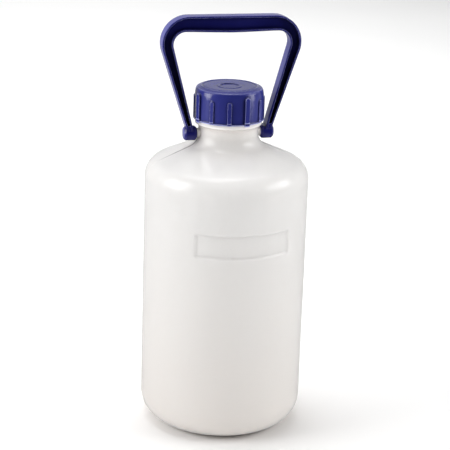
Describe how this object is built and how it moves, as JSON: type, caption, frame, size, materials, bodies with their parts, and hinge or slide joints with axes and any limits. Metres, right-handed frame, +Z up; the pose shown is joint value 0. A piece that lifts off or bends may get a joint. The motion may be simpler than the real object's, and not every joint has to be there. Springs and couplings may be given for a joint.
{
  "type": "carboy bottle",
  "caption": "Cylindrical blow-moulded plastic carboy with a threaded neck, ribbed screw cap, sealing disc and a swinging bail handle on moulded pins.",
  "frame": {"origin": "centre of the base, on the surface that the bottle stands on", "axes": "+Z up along the bottle's axis; -Y towards the front, where the sunk label panel is; X along the handle's hinge"},
  "size_m": [0.165, 0.165, 0.4204],
  "materials": {
    "bottle": "natural HDPE, milky and slightly translucent, satin",
    "cap": "moulded blue polypropylene, semi-gloss",
    "liner": "foamed polyethylene sealing disc, matt",
    "handle": "moulded dark blue polypropylene, semi-gloss"
  },
  "bodies": {
    "bottle": {"bottle": "bottle"},
    "cap_liner": {"cap_liner": "liner"},
    "screw_cap": {"screw_cap": "cap"},
    "handle": {"handle": "handle"}
  },
  "joints": [
    {"name": "handle_swing", "type": "hinge", "parent": "bottle", "child": "handle", "pos_m": [0, 0, 0.3029], "axis": [1, 0, 0], "range_deg": [-111, 111]},
    {"name": "cap_lift", "type": "slide", "parent": "bottle", "child": "cap_liner", "axis": [0, 0, 1], "range_m": [0, 0.044]},
    {"name": "cap_turn", "type": "hinge", "parent": "cap_liner", "child": "screw_cap", "pos_m": [0, 0, 0.334], "axis": [0, 0, 1], "range_deg": [0, 2640]}
  ],
  "couplings": [
    {"joint": "cap_lift", "follows": "cap_turn", "m_per_rad": 0.00095493}
  ]
}
